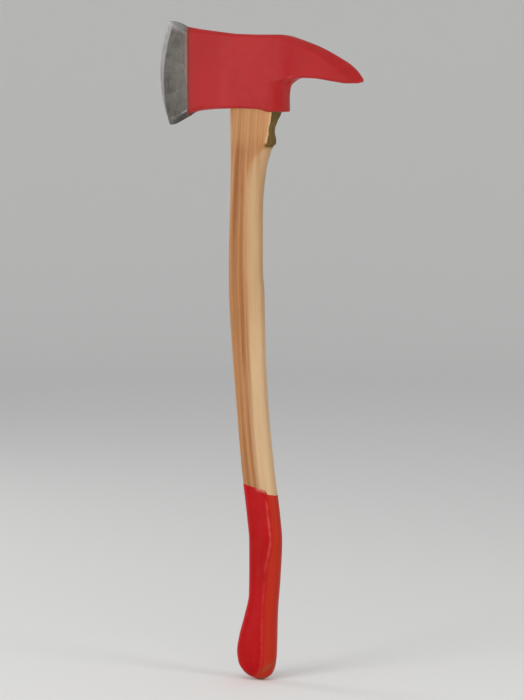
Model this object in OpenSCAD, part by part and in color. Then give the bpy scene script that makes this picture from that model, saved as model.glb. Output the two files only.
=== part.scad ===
// Pick-head fire axe: a forged head with a broad cutting bit and a pick, hung on a
// curved hickory handle. Millimetres, +Z up. The origin is on the axis of the eye,
// level with the underside of the head. The bit points to -X and the pick to +X.

/* [Head] */
// Thickness of the head across its flat cheeks
cheek_t = 34; // [31:0.5:38]
// Thickness left at the cutting edge
edge_t = 0.8; // [0.6:0.1:1.6]
// Distance from the paint line back to the eye's axis
paint_line = 98.5; // [92:0.5:104]
// Thickness of the enamel on the head and on the grip
enamel_t = 0.4; // [0.3:0.05:0.8]

/* [Eye] */
// Length of the eye, front to back, where the handle enters it
eye_len = 72; // [68:0.5:73]
// Width of the eye where the handle enters it
eye_w = 24; // [20:0.5:25]
// How much wider the eye is at the top, where the wedges spread the tongue
eye_flare = 3; // [1:0.5:4]

/* [Handle] */
// Length of the handle below the head
handle_len = 795; // [700:0.5:840]
// Thickness of the handle in its long middle
handle_t = 27; // [25:0.5:29]
// Distance below the head at which the grip's enamel starts, at the handle's centre
grip_start = 523; // [440:1:560]
// Slope of the grip's paint line, in millimetres of drop per millimetre to the back
grip_slope = 0.21; // [0:0.01:0.5]

/* [Wedges] */
// How deep the wooden wedge goes into the tongue
wedge_depth = 66; // [50:1:75]
// Thickness of the wooden wedge at its top
wedge_t = 6; // [4:0.5:7]
// Length of each steel wedge across the tongue
pin_len = 19; // [14:1:21]
// Thickness of each steel wedge at its top
pin_t = 3; // [2:0.5:4]
// How deep each steel wedge is driven
pin_depth = 34; // [24:1:40]
// Distance from the eye's axis to each steel wedge
pin_at = 16; // [12:1:20]

/* [Hidden] */

red = [0.66, 0.16, 0.16];
grip_red = [0.70, 0.13, 0.15];
bare_steel = [0.45, 0.43, 0.42];
hickory = [0.74, 0.56, 0.39];
wedge_wood = [0.62, 0.44, 0.28];

eps = 0.01;
side_points = 10;    // points up one side of a head section
fixed_points = 5;    // of them at its two ridges, its two bevels and the flank's foot
ring_points = 36;    // points round a handle section
column_step = 1 / 3; // stations from one head section to the next
top_bevel_share = 0.6; // a top bevel takes at most this much of a section's height
low_bevel_share = 0.3; // a bottom bevel takes at most this much of it
flank_share = 1.5;   // the flank's foot stands this many bottom bevels up,
flank_lift = 1;      // and this much more
bow_skew = 0.24;     // how much lower than the middle the forward bow is fullest
ridge_gap = 0.02;    // a ridge stays at least this far inside its cheek

eye_power = 2.8;     // how boxy the eye's oval is
eye_stretch = 0.7;   // the eye lengthens this much for each mm that it widens
eye_overrun = 12;    // how far the eye's cutter runs past the head
top_z = 103;         // where the tongue and its wedges are trimmed
underside_fall = 0.058; // the handle's top falls this much per mm towards the back
handle_gap = 0.05;   // between the head's painted underside and the wood
fall_fade_up = 50;   // height above the underside at which sections are level again
fall_fade_down = 60; // depth below it at which they are

drawn_cheek = 34;    // the cheeks' thickness that the lug's curve is drawn for
lug_top = 34;        // height at which the lug starts to merge into the pick's root
lug_merge = 26;      // height over which it merges
lug_free = 40;       // half thickness that frees the cheek from the lug

wedge_foot = 0.4;    // half thickness of the wooden wedge's thin end
pin_foot = 0.3;      // half thickness of a steel wedge's thin end
slot_rise = 1;       // how far a wedge's slot is cut past the tongue's top
pin_step_share = 1 / 8; // each step of a steel wedge, as a share of its thickness
pin_step_at = 0.5;   // where along its depth the step is

grip_spare = 40;     // grip skin drawn above its paint line, before it is cut off
clear_size = 150;    // reach of the block that cuts it

// Stations from the cutting edge to the tip of the pick. Each is one slanting section
// of the head: [top x, top z, bottom x, bottom z, half thickness as a share of the
// cheek, top bevel height, top ridge half width, bottom bevel height, bottom ridge
// half width, forward bow of the section]
HEAD = [
    [-131.3, 124.7, -127.4, -19.7, 0, 1, 0, 1, 0, 12.4],
    [-121, 124.4, -119.6, -18.6, 0.11, 6, 0.9, 5, 0.9, 11.5],
    [-109, 121.2, -110, -14.3, 0.26, 9, 1.6, 9, 1.6, 8],
    [-paint_line, 116, -paint_line, -8, 0.41, 8, 3, 8, 2.6, 0],
    [-86, 113.4, -86, -0.5, 0.54, 6, 5.5, 5, 5.5, 0],
    [-62, 109.8, -62, 2.4, 0.8, 4.5, 10, 3, 11, 0],
    [-40, 106.8, -42, 3.1, 0.98, 4, 13, 2.5, 14, 0],
    [-26, 105.2, -22, 3.1, 1, 4, 13.4, 2.5, 14.5, 0],
    [0, 103.9, 7, 2, 1, 4, 13.5, 2.5, 14.5, 0],
    [14, 103.5, 26, -2.2, 1, 4, 13.3, 2.5, 13.6, 0],
    [28, 103.3, 48.6, -1.4, 0.98, 4.2, 12.7, 1.6, 6.2, 0],
    [40, 103.2, 48, 14, 0.95, 5, 11.5, 1.6, 6.2, 0],
    [50, 101.7, 50.3, 31, 0.89, 6.5, 9.8, 1.8, 6.4, 0],
    [62, 98, 56.4, 39.4, 0.79, 7.8, 8, 2, 7.5, 0],
    [76, 93.2, 67, 44.6, 0.7, 9, 6, 2.2, 9, 0],
    [98, 84.6, 90, 43.3, 0.57, 11, 3.6, 2.4, 7.2, 0],
    [122, 71.9, 114, 39.3, 0.43, 16, 2, 2.4, 5, 0],
    [139.5, 60.9, 134, 36.5, 0.31, 22, 1.3, 2, 3.2, 0],
    [149.8, 51.2, 147.6, 36.6, 0.19, 11, 0.9, 1.6, 1.8, 0],
    [156.2, 42.2, 156, 38.2, 0.08, 1.6, 0.6, 0.9, 0.7, 0]
];
PAINT_STATION = 3;
// The stations whose bottom points make up the head's underside
UNDERSIDE_FIRST = 5;
UNDERSIDE_LAST = 10;

// Half thickness of the lug that closes the back of the eye, by x
LUG = [[12, 17], [28, 16.8], [34, 15.6], [40, 12.8], [45, 10], [50, 7.4]];

// Outlines of the handle by distance below the head, drawn at this length
DRAWN_LEN = 795;
FRONT = [[0, -36], [80, -35.6], [220, -38.8], [250, -38.6], [330, -34], [410, -27.5],
         [490, -20.6], [570, -11.2], [600, -8.4], [640, -8.2], [675, -8.6], [705, -15],
         [735, -23.2], [757, -26.6], [772, -24.6], [785, -16.6], [791, -8], [795, 3]];
BACK = [[0, 37], [6, 35.6], [11, 32.4], [17, 29.8], [23, 27.4], [29, 26.8], [36, 28.2],
        [41, 29.2], [45, 29.2], [48, 27.6], [53, 22.8], [62, 20.2], [76, 16.2], [100, 12.6],
        [130, 10.4], [180, 9.9], [225, 10.2], [250, 12.3], [290, 13.2], [330, 14.2],
        [410, 18.4], [490, 26.1], [570, 36.2], [600, 38.5], [650, 36], [700, 32.2],
        [757, 30.8], [773, 29.2], [786, 24.6], [792, 18.5], [795, 12]];
// Half thickness of the handle as a share of its middle
HALF = [[0, 1.08], [100, 1.04], [300, 1], [640, 1], [700, 1.08], [750, 1.18],
        [774, 1.12], [787, 0.86], [792.5, 0.6], [795, 0.3]];
// How boxy the oval is at the front and at the back
FRONT_POWER = [[0, 3.2], [100, 2.9], [400, 2.6], [795, 2.4]];
BACK_POWER = [[0, 4.2], [44, 4.2], [60, 3], [400, 2.6], [795, 2.4]];
// Distances below the head at which the handle has a section
LEVELS = concat([for (d = [0:4:60]) d], [for (d = [70:13:746]) d],
                [752, 759, 765, 771, 776, 781, 785.5, 789, 792, 794, 795]);

// The eye's half length and half width by height
EYE_LEVELS = [top_z, 78, 50, 25, 0];
EYE_FLARE = [[0, 0], [50, -0.25], [105, 1]];

function clamp(v, low = 0, high = 1) = max(low, min(high, v));
function mix(a, b, t) = a + (b - a) * t;
function ease(t) = let (c = clamp(t)) c * c * (3 - 2 * c);
function power(v, p) = sign(v) * pow(abs(v), p);

// Smooth curve through [x, value] pairs that never overshoots them
function slope_at(t, i) =
    let (n = len(t) - 1,
         a = i == 0 ? undef : (t[i][1] - t[i - 1][1]) / (t[i][0] - t[i - 1][0]),
         b = i == n ? undef : (t[i + 1][1] - t[i][1]) / (t[i + 1][0] - t[i][0]))
    i == 0 ? b : i == n ? a : a * b <= 0 ? 0 : 2 * a * b / (a + b);
function segment(t, x, i = 0) = (i >= len(t) - 2 || x < t[i + 1][0]) ? i : segment(t, x, i + 1);
function curve(t, x) =
    let (c = clamp(x, t[0][0], t[len(t) - 1][0]),
         i = segment(t, c),
         h = t[i + 1][0] - t[i][0],
         s = (c - t[i][0]) / h)
    t[i][1] * (1 + 2 * s) * pow(1 - s, 2) + slope_at(t, i) * h * s * pow(1 - s, 2)
    + t[i + 1][1] * s * s * (3 - 2 * s) - slope_at(t, i + 1) * h * s * s * (1 - s);

// Faces that skin a stack of closed rings of n points each
function skin_faces(rings, n, first = 0) =
    [for (r = [0:rings - 2], k = [0:n - 1], half = [0, 1])
        let (a = first + r * n, b = a + n, j = (k + 1) % n)
        half == 0 ? [a + k, a + j, b + j] : [a + k, b + j, b + k]];
function flip(faces) = [for (f = faces) [f[2], f[1], f[0]]];
// Faces that join the first ring to the first ring of an inner skin
function rim_faces(inner, n) =
    [for (k = [0:n - 1], half = [0, 1])
        let (j = (k + 1) % n)
        half == 0 ? [inner + k, inner + j, j] : [inner + k, j, k]];

// ---- Head sections -------------------------------------------------------------

function head_value(column, s) =
    curve([for (i = [0:len(HEAD) - 1]) [i, HEAD[i][column]]], s);
function lug_half(x, z) =
    curve(LUG, x) * cheek_t / drawn_cheek + lug_free * ease((z - lug_top) / lug_merge);

// One side of a head section, from the bottom ridge up to the top ridge
function head_side(s, grow) =
    let (tx = head_value(0, s), tz = head_value(1, s),
         bx = head_value(2, s), bz = head_value(3, s),
         reach = norm([tx - bx, tz - bz]),
         half = edge_t / 2 + (cheek_t - edge_t) / 2 * head_value(4, s),
         top_bevel = min(head_value(5, s), reach * top_bevel_share),
         low_bevel = min(head_value(7, s), reach * low_bevel_share),
         flank = low_bevel * flank_share + flank_lift,
         between = side_points - fixed_points,
         heights = concat([0, low_bevel, flank],
             [for (k = [1:between]) mix(flank, reach - top_bevel, k / (between + 1))],
             [reach - top_bevel, reach]))
    [for (k = [0:side_points - 1])
        let (u = heights[k] / reach,
             stretch = grow * (2 * u - 1) / reach,
             bow = head_value(9, s) * 4 * u * (1 - u) * (1 + bow_skew * (0.5 - u)),
             x = mix(bx, tx, u + stretch) - bow,
             z = mix(bz, tz, u + stretch),
             wall = min(half, lug_half(x, z)),
             ridge = edge_t / 2 + (k == 0 ? head_value(8, s) : head_value(6, s)),
             y = (k == 0 || k == side_points - 1) ? min(ridge, wall - ridge_gap) : wall)
        [x, y + grow, z]];

function head_ring(s, grow) =
    let (side = head_side(s, grow))
    concat([for (p = side) [p[0], -p[1], p[2]]],
           [for (k = [side_points - 1:-1:0]) side[k]]);

function head_stations(from) = [for (s = [from:column_step:len(HEAD) - 1 + eps]) s];

// Strip that closes a section, whatever its bow
function strip_faces(first, n) =
    [for (k = [0:n / 2 - 2], half = [0, 1])
        let (a = first + k, b = first + n - 1 - k)
        half == 0 ? [a, a + 1, b - 1] : [a, b - 1, b]];

module head_solid() {
    n = 2 * side_points;
    stations = head_stations(0);
    polyhedron([for (s = stations, p = head_ring(s, 0)) p],
               concat(skin_faces(len(stations), n), flip(strip_faces(0, n)),
                      strip_faces((len(stations) - 1) * n, n)));
}

// Closed skin of enamel round the head behind the paint line
module head_coat() {
    n = 2 * side_points;
    stations = head_stations(PAINT_STATION);
    rings = len(stations);
    inner = rings * n;
    nose = [enamel_t, 0, 0];
    last = len(HEAD) - 1 - eps;
    outside = [for (s = stations, p = head_ring(s, enamel_t)) s > last ? p + nose : p];
    inside = [for (s = stations, p = head_ring(s, 0)) p];
    polyhedron(concat(outside, inside),
               concat(skin_faces(rings, n), strip_faces((rings - 1) * n, n),
                      flip(skin_faces(rings, n, inner)),
                      flip(strip_faces(inner + (rings - 1) * n, n)), rim_faces(inner, n)));
}

// ---- Eye and handle sections ---------------------------------------------------

function oval(cx, half_len, half_w, front_p, back_p) =
    [for (k = [0:ring_points - 1])
        let (a = 360 * k / ring_points, p = cos(a) > 0 ? back_p : front_p)
        [cx + half_len * power(cos(a), 2 / p), half_w * power(sin(a), 2 / p)]];

// Level of a section point: the sections near the head lie along its underside
function level(z, x) =
    z - underside_fall * x * clamp(z > 0 ? 1 - z / fall_fade_up : 1 + z / fall_fade_down);

// Height of the top of the wood under the head
function handle_top(x) =
    curve([for (i = [UNDERSIDE_FIRST:UNDERSIDE_LAST]) [HEAD[i][2], HEAD[i][3]]], x)
    - enamel_t - handle_gap;

function eye_ring(z) =
    let (grow = eye_flare / 2 * curve(EYE_FLARE, z))
    [for (p = oval(0, eye_len / 2 + grow * eye_stretch, eye_w / 2 + grow,
                   eye_power, eye_power))
        [p[0], p[1], level(z, p[0])]];

function handle_ring(d, grow = 0) =
    let (front = curve(FRONT, d), back = curve(BACK, d),
         half = handle_t / 2 * curve(HALF, d),
         z = -d * handle_len / DRAWN_LEN)
    [for (p = oval((front + back) / 2, (back - front) / 2 + grow, half + grow,
                   curve(FRONT_POWER, d), curve(BACK_POWER, d)))
        [p[0], p[1], d == 0 ? handle_top(p[0]) : level(z, p[0])]];

function cap(first, n) = [[for (k = [0:n - 1]) first + k]];
function cap_flipped(first, n) = [[for (k = [n - 1:-1:0]) first + k]];

module stack(rings) {
    n = ring_points;
    polyhedron([for (r = rings, p = r) p],
               concat(skin_faces(len(rings), n), cap_flipped(0, n),
                      cap((len(rings) - 1) * n, n)));
}

// The space inside the eye, a little longer than the head at both ends
module eye_space() {
    lift = [0, 0, eye_overrun];
    stack(concat([[for (p = eye_ring(top_z)) p + lift]],
                 [for (z = EYE_LEVELS) eye_ring(z)],
                 [[for (p = eye_ring(0)) p - lift]]));
}

// Handle with its tongue, as one length of wood, before the kerf is cut
module handle_blank() {
    lower = [0, 0, -enamel_t];
    stack(concat([for (z = EYE_LEVELS) eye_ring(z)],
                 [[for (p = eye_ring(0)) p + lower]],
                 [for (d = LEVELS) handle_ring(d)]));
}

// ---- Wedges --------------------------------------------------------------------

// Space of the wooden wedge: a tapered slot along the whole length of the eye
module wedge_slot(rise) {
    half = wedge_t / 2;
    rotate([90, 0, 90])
        translate([0, 0, -eye_len])
            linear_extrude(2 * eye_len)
                polygon([[-wedge_foot, top_z - wedge_depth],
                         [wedge_foot, top_z - wedge_depth],
                         [half, top_z], [half, top_z + rise],
                         [-half, top_z + rise], [-half, top_z]]);
}

// One stepped steel wedge, driven crosswise
module steel_wedge(rise) {
    half = pin_t / 2;
    step = pin_t * pin_step_share;
    step_z = top_z - pin_depth * pin_step_at;
    rotate([90, 0, 0])
        translate([0, 0, -pin_len / 2])
            linear_extrude(pin_len)
                polygon([[-pin_foot, top_z - pin_depth], [pin_foot, top_z - pin_depth],
                         [half - 2 * step, step_z], [half - step, step_z],
                         [half, top_z], [half, top_z + rise],
                         [-half, top_z + rise], [-half, top_z],
                         [step - half, step_z], [2 * step - half, step_z]]);
}

module both_steel_wedges(rise = 0) {
    for (side = [-1, 1])
        translate([side * pin_at, 0, 0])
            steel_wedge(rise);
}

// ---- Pieces --------------------------------------------------------------------

module head_forging() {
    color(bare_steel)
        difference() {
            head_solid();
            eye_space();
        }
}

module head_enamel() {
    color(red)
        difference() {
            head_coat();
            eye_space();
        }
}

module handle() {
    color(hickory)
        difference() {
            handle_blank();
            wedge_slot(slot_rise);
            both_steel_wedges(slot_rise);
        }
}

module grip_enamel() {
    n = ring_points;
    levels = [for (d = LEVELS) if (d > grip_start - grip_spare) d];
    rings = len(levels);
    inner = rings * n;
    foot = [0, 0, -enamel_t];
    last = LEVELS[len(LEVELS) - 1];
    outside = [for (d = levels, p = handle_ring(d, enamel_t)) d == last ? p + foot : p];
    inside = [for (d = levels, p = handle_ring(d)) p];
    color(grip_red)
        difference() {
            polyhedron(concat(outside, inside),
                       concat(skin_faces(rings, n), cap((rings - 1) * n, n),
                              flip(skin_faces(rings, n, inner)),
                              cap_flipped(inner + (rings - 1) * n, n),
                              rim_faces(inner, n)));
            translate([0, 0, -grip_start * handle_len / DRAWN_LEN])
                rotate([0, atan(grip_slope), 0])
                    translate([-clear_size, -clear_size, 0])
                        cube(2 * clear_size);
        }
}

module wooden_wedge() {
    color(wedge_wood)
        difference() {
            intersection() {
                wedge_slot(0);
                eye_space();
            }
            both_steel_wedges(slot_rise);
        }
}

module steel_wedges() {
    color(bare_steel)
        both_steel_wedges();
}

head_forging();
head_enamel();
handle();
grip_enamel();
wooden_wedge();
steel_wedges();
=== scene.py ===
"""Fire axe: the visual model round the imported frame.

Metres, +Z up, the bit at -X and the pick at +X. The origin is on the eye's axis, level
with the underside of the head. The shape tables below are in millimetres.
"""

import math

import bmesh
import bpy
import numpy as np
from mathutils import Matrix, Vector, noise


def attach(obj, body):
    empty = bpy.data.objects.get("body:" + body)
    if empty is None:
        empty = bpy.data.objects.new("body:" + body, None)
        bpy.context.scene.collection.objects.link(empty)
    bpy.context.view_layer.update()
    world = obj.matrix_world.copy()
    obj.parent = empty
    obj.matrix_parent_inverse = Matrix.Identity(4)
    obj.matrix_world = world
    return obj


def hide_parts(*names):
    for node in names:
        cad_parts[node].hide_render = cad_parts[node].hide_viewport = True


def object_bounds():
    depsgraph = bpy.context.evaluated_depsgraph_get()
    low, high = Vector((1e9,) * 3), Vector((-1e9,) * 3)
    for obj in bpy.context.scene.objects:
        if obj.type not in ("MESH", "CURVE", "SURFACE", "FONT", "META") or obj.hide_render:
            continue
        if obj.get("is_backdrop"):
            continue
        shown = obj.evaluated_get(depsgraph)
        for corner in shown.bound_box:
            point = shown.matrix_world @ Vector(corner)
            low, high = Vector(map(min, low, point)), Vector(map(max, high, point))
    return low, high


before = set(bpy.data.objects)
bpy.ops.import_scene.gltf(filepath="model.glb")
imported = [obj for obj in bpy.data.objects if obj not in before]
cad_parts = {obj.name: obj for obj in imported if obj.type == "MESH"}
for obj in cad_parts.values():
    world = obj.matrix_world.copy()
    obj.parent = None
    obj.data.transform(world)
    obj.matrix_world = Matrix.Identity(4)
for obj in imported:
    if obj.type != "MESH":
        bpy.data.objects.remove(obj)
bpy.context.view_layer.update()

MM = 0.001

# ---- Curves ----

class Curve:
    """Smooth curve through (x, value) pairs that never overshoots them."""

    def __init__(self, pairs):
        table = np.array(pairs, float)
        self.x, self.y = table[:, 0], table[:, 1]
        step = np.diff(self.y) / np.diff(self.x)
        slope = np.concatenate([step[:1], np.zeros(len(step) - 1), step[-1:]])
        a, b = step[:-1], step[1:]
        same = a * b > 0
        slope[1:-1][same] = 2 * a[same] * b[same] / (a[same] + b[same])
        self.slope = slope

    def __call__(self, at):
        at = np.clip(np.asarray(at, float), self.x[0], self.x[-1])
        i = np.clip(np.searchsorted(self.x, at, side="right") - 1, 0, len(self.x) - 2)
        h = self.x[i + 1] - self.x[i]
        s = (at - self.x[i]) / h
        return (self.y[i] * (1 + 2 * s) * (1 - s) ** 2
                + self.slope[i] * h * s * (1 - s) ** 2
                + self.y[i + 1] * s * s * (3 - 2 * s)
                - self.slope[i + 1] * h * s * s * (1 - s))


# ---- Driving sizes, in millimetres ----

CHEEK_T = 34.0  # across the flat cheeks
EDGE_T = 0.8  # at the cutting edge
ENAMEL_T = 0.4
TOP_Z = 103.0  # where the tongue and its wedges are trimmed
UNDERSIDE_FALL = 0.058  # the handle's top falls this much per mm towards the back
HEAD_GAP = 0.05  # between the painted underside and the wood
FADE_UP = 50.0  # height above the underside where sections are level again
FADE_DOWN = 60.0  # depth below it where they are
SETTLE_DEPTH = 9.0  # depth over which the handle's top meets the underside
EYE_LEN = 72.0
EYE_W = 24.0
EYE_FLARE = 3.0
EYE_POWER = 2.8  # how boxy the eye's oval is
EYE_STRETCH = 0.7  # the eye lengthens this much for each mm that it widens
EYE_OVERRUN = 14.0  # how far the eye's cutter runs past the head
TONGUE_PLAY = 0.06  # between the tongue and the eye
HANDLE_HALF = 13.5
GRIP_START = 523.0  # depth of the grip's paint line at the middle of the handle
GRIP_SLOPE = 0.21
GRIP_STEP = 5.2  # its drop where the side meets the back
WEDGE_T = 6.0
WEDGE_DEPTH = 66.0
PIN_AT = 16.0
PIN_LEN = 19.0
PIN_T = 3.0
PIN_DEPTH = 34.0
WEDGE_FOOT = 0.4  # half thickness of the wooden wedge's thin end
PIN_FOOT = 0.3  # half thickness of a steel wedge's thin end
PIN_ROUNDING = 0.35  # of a steel wedge's edges
WEDGE_REACH = 60.0  # half length of the wooden wedge before the eye trims it
SLOT_PLAY = 0.05  # between a wedge and its slot
SLOT_RISE = 3.0  # how far a slot is cut past the tongue's top

# Head stations from the cutting edge to the pick's tip: top x, top z, bottom x,
# bottom z, share of the cheek's half thickness, top bevel, top ridge half width,
# bottom bevel, bottom ridge half width, forward bow
HEAD = np.array([
    [-131.3, 124.7, -127.4, -19.7, 0, 1, 0, 1, 0, 12.4],
    [-121, 124.4, -119.6, -18.6, 0.11, 6, 0.5, 5, 0.3, 11.5],
    [-109, 121.2, -110, -14.3, 0.26, 9, 1.1, 8.5, 0.5, 8],
    [-98.5, 116, -98.5, -8, 0.41, 8, 2.4, 8, 1.6, 0],
    [-86, 113.4, -86, -0.5, 0.54, 6, 5.2, 5, 4.6, 0],
    [-62, 109.8, -62, 2.4, 0.8, 4.5, 10, 3, 11, 0],
    [-40, 106.8, -42, 3.1, 0.98, 4, 13, 2.5, 14, 0],
    [-26, 105.2, -22, 3.1, 1, 4, 13.4, 2.5, 14.5, 0],
    [0, 103.9, 7, 2, 1, 4, 13.5, 2.5, 14.5, 0],
    [14, 103.5, 26, -2.2, 1, 4, 13.3, 2.5, 13.6, 0],
    [28, 103.3, 49.2, -1.4, 0.98, 4.2, 12.7, 1.8, 3, 0],
    [40, 103.2, 48.7, 14, 0.95, 5, 11.5, 1.6, 3, 0],
    [50, 101.7, 50.9, 31, 0.89, 6.5, 9.8, 2.2, 3.4, 0],
    [62, 98, 56.4, 39.4, 0.79, 7.8, 8, 2.6, 5.8, 0],
    [76, 93.2, 67, 44.6, 0.7, 9, 6, 2.2, 9, 0],
    [98, 84.6, 90, 43.3, 0.57, 11, 2.6, 2.4, 7, 0],
    [122, 71.9, 114, 39.3, 0.43, 16, 1.1, 2.4, 4.8, 0],
    [139.5, 60.9, 134, 36.5, 0.31, 22, 0.7, 2, 3, 0],
    [149.8, 51.2, 147.6, 36.6, 0.19, 11, 0.9, 1.6, 1.8, 0],
    [156.2, 42.2, 156, 38.2, 0.08, 1.6, 0.6, 0.9, 0.7, 0],
])
PAINT_STATION = 3
TIP_STATION = len(HEAD) - 1
BIT_TABLE = HEAD[:4]  # the stations of the bare bit
HEEL_TABLE = HEAD[:6]  # the bit and the start of the painted underside
BOW_SKEW = 0.24  # how much lower than the middle the forward bow is fullest
TOP_BEVEL_SHARE = 0.6  # a top bevel takes at most this much of a section's height
LOW_BEVEL_SHARE = 0.3  # a bottom bevel takes at most this much of it
LUG_FREE, LUG_TOP, LUG_MERGE = 40, 34, 26  # how the lug widens into the pick's root
LUG_CREASE = 2.6  # width of the rounded crease between lug and cheek
RIDGE_GAP = 0.02  # a ridge stays at least this far inside its cheek
LUG = Curve(
    [[4, 20.5], [16, 18.9], [25, 17.6], [32, 15.9], [38, 13.6], [42, 11.4], [45, 9.2],
    [47.2, 7], [49, 4.7], [51, 2.8]])

# Outlines of the handle by depth below the head
FRONT = Curve(
    [[0, -36], [80, -35.6], [220, -38.8], [250, -38.6], [330, -34], [410, -27.5],
    [490, -20.6], [570, -11.2], [600, -8.4], [640, -8.2], [675, -8.6], [705, -15],
    [735, -23.2], [757, -26.6], [772, -24.6], [785, -16.6], [791, -8], [795, 3]])
BACK = Curve(
    [[0, 35.5], [6, 34.1], [11, 30.9], [17, 28.3], [23, 26], [29, 25.4], [36, 26.8],
    [41, 27.7], [45, 27.7], [48, 26.4], [53, 22.3], [62, 20], [76, 16.2], [100, 12.6],
    [130, 10.4], [180, 9.9], [225, 10.2], [250, 12.3], [290, 13.2], [330, 14.2],
    [410, 18.4], [490, 26.1], [570, 36.2], [600, 38.5], [650, 36], [700, 32.2],
    [757, 30.8], [773, 29.2], [786, 24.6], [792, 18.5], [795, 12]])
HALF = Curve(
    [[0, 1.08], [100, 1.04], [300, 1], [640, 1], [700, 1.08], [750, 1.18], [774, 1.12],
    [787, 0.86], [792.5, 0.6], [795, 0.3]])
FRONT_POWER = Curve([[0, 3.2], [100, 2.9], [400, 2.6], [795, 2.4]])
BACK_POWER = Curve(
    [[0, 9], [45, 9], [48, 7], [53, 4.2], [62, 3.2], [76, 2.9], [400, 2.6], [795, 2.4]])
NEAR_RIDGE = Curve([[0, 30.4], [5, 29.6], [30, 25.8], [44, 22.8], [56, 21]])
SAPWOOD = Curve(
    [[48, 0], [50, 2.5], [54, 7.5], [60, 12.5], [66, 16.2], [76, 18.8], [95, 19.6],
    [195, 19.4], [340, 19.8], [400, 20.8], [473, 22.8]])
CREST = Curve([[0, 18], [500, 18], [550, 12], [600, 12], [640, 17], [795, 16]])
UNDERSIDE = Curve([[-62, 2.4], [-42, 3.1], [-22, 3.1], [7, 2], [26, -2.2], [49, -1.4]])
# The line that the wood's grain follows
MIDLINE = Curve(
    [[-110, -2], [0, -5], [80, -10], [200, -14], [330, -10], [410, -4.5], [490, 2.8],
    [570, 12.5], [640, 13.8], [700, 9], [795, 2]])
HANDLE_END = 795.0
EYE_LEVELS = [103, 92, 78, 64, 50, 36, 25, 12, 0]
EYE_FLARE_AT = Curve([[0, 0], [50, -0.25], [105, 1]])


# ---- Shaping functions ----

def ease(value):
    t = np.clip(value, 0, 1)
    return t * t * (3 - 2 * t)


def fade(value, start, end):
    """Rises smoothly from 0 at start to 1 at end, which may be the lower of the two."""
    return ease((value - start) / (end - start))


def hump(away, half):
    """1 where away is 0, falling off on both sides over half."""
    return np.exp(-(away / half) ** 2)


def soft_min(a, b, width):
    """The smaller of two surfaces, with the crease between them rounded."""
    overlap = np.clip(1 - np.abs(a - b) / width, 0, None)
    return np.minimum(a, b) - overlap ** 2 * width / 4


def power(value, exponent):
    return np.sign(value) * np.abs(value) ** exponent


SEED_SHIFT = (17.3, 5.7, 11.1)  # how far each seed moves the noise


def rough(points, size, seed):
    """Smooth noise of about -1 to 1 at each point; size is its grain, in mm."""
    shift = Vector([seed * step for step in SEED_SHIFT])
    flat = points.reshape(-1, 3)
    values = [noise.noise(Vector(p) / size + shift) for p in flat]
    return np.array(values).reshape(points.shape[:-1])


# ---- Meshes ----

def make_object(name, vertices, faces):
    """A mesh object from places in millimetres."""
    mesh = bpy.data.meshes.new(name)
    mesh.from_pydata((np.asarray(vertices) * MM).tolist(), [], faces)
    mesh.validate()
    mesh.update()
    piece = bpy.data.objects.new(name, mesh)
    bpy.context.scene.collection.objects.link(piece)
    return piece


def turned(faces, flip):
    return [face[::-1] for face in faces] if flip else faces


def skin(rings, count, first=0, flip=False):
    """Quads between neighbouring closed rings of count points."""
    starts = [first + r * count for r in range(rings - 1)]
    return turned([(a + k, a + (k + 1) % count, a + count + (k + 1) % count, a + count + k)
                   for a in starts for k in range(count)], flip)


def strip(first, count, flip=False):
    """Closes a ring whose second half mirrors its first."""
    last = first + count - 1
    return turned([(first + k, first + k + 1, last - k - 1, last - k)
                   for k in range(count // 2 - 1)], flip)


def fan(first, count, centre, flip=False):
    """Closes a ring with triangles to a point at its middle."""
    return turned([(first + k, first + (k + 1) % count, centre) for k in range(count)],
                  flip)


def shell(name, outer, inner, domed=False):
    """A closed skin from two surfaces of rings, joined at their first rings.

    Their last rings are closed with fans when domed, and else with strips.
    """
    count = outer.shape[1]
    base, total = len(outer) * count, (len(outer) + len(inner)) * count
    points = np.concatenate([outer.reshape(-1, 3), inner.reshape(-1, 3)])
    if domed:
        points = np.concatenate([points, [outer[-1].mean(0), inner[-1].mean(0)]])
        ends = (fan(base - count, count, total),
                fan(total - count, count, total + 1, flip=True))
    else:
        ends = (strip(base - count, count), strip(total - count, count, flip=True))
    rim = [(base + k, base + (k + 1) % count, (k + 1) % count, k) for k in range(count)]
    return make_object(name, points, skin(len(outer), count) + ends[0]
                       + skin(len(inner), count, base, flip=True) + ends[1] + rim)


def smooth(piece, angle=38):
    """Smooth shading, with edges sharper than angle degrees kept."""
    mesh = piece.data
    mesh.polygons.foreach_set("use_smooth", np.ones(len(mesh.polygons), bool))
    mesh.set_sharp_from_angle(angle=math.radians(angle))
    mesh.update()


def apply_modifiers(piece):
    bpy.context.view_layer.update()
    graph = bpy.context.evaluated_depsgraph_get()
    result = bpy.data.meshes.new_from_object(piece.evaluated_get(graph))
    piece.modifiers.clear()
    old = piece.data
    piece.data = result
    bpy.data.meshes.remove(old)


def boolean(piece, *cutters, operation="DIFFERENCE"):
    """Applies exact booleans to piece in turn; the cutters stay."""
    for cutter in cutters:
        change = piece.modifiers.new("cut", "BOOLEAN")
        change.operation = operation
        change.object = cutter
        change.solver = "EXACT"
        apply_modifiers(piece)


def discard(*pieces):
    for piece in pieces:
        mesh = piece.data
        bpy.data.objects.remove(piece)
        bpy.data.meshes.remove(mesh)


def positions(piece):
    """Vertex places in millimetres."""
    co = np.zeros(len(piece.data.vertices) * 3)
    piece.data.vertices.foreach_get("co", co)
    return co.reshape(-1, 3) / MM


def store(piece, **fields):
    """Keeps named numbers, or triples, at each vertex for the materials."""
    for name, values in fields.items():
        values = np.asarray(values, np.float32)
        kind, key = (("FLOAT_VECTOR", "vector") if values.ndim == 2
                     else ("FLOAT", "value"))
        field = piece.data.attributes.new(name, kind, "POINT")
        field.data.foreach_set(key, values.ravel())


# ---- Head ----

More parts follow.
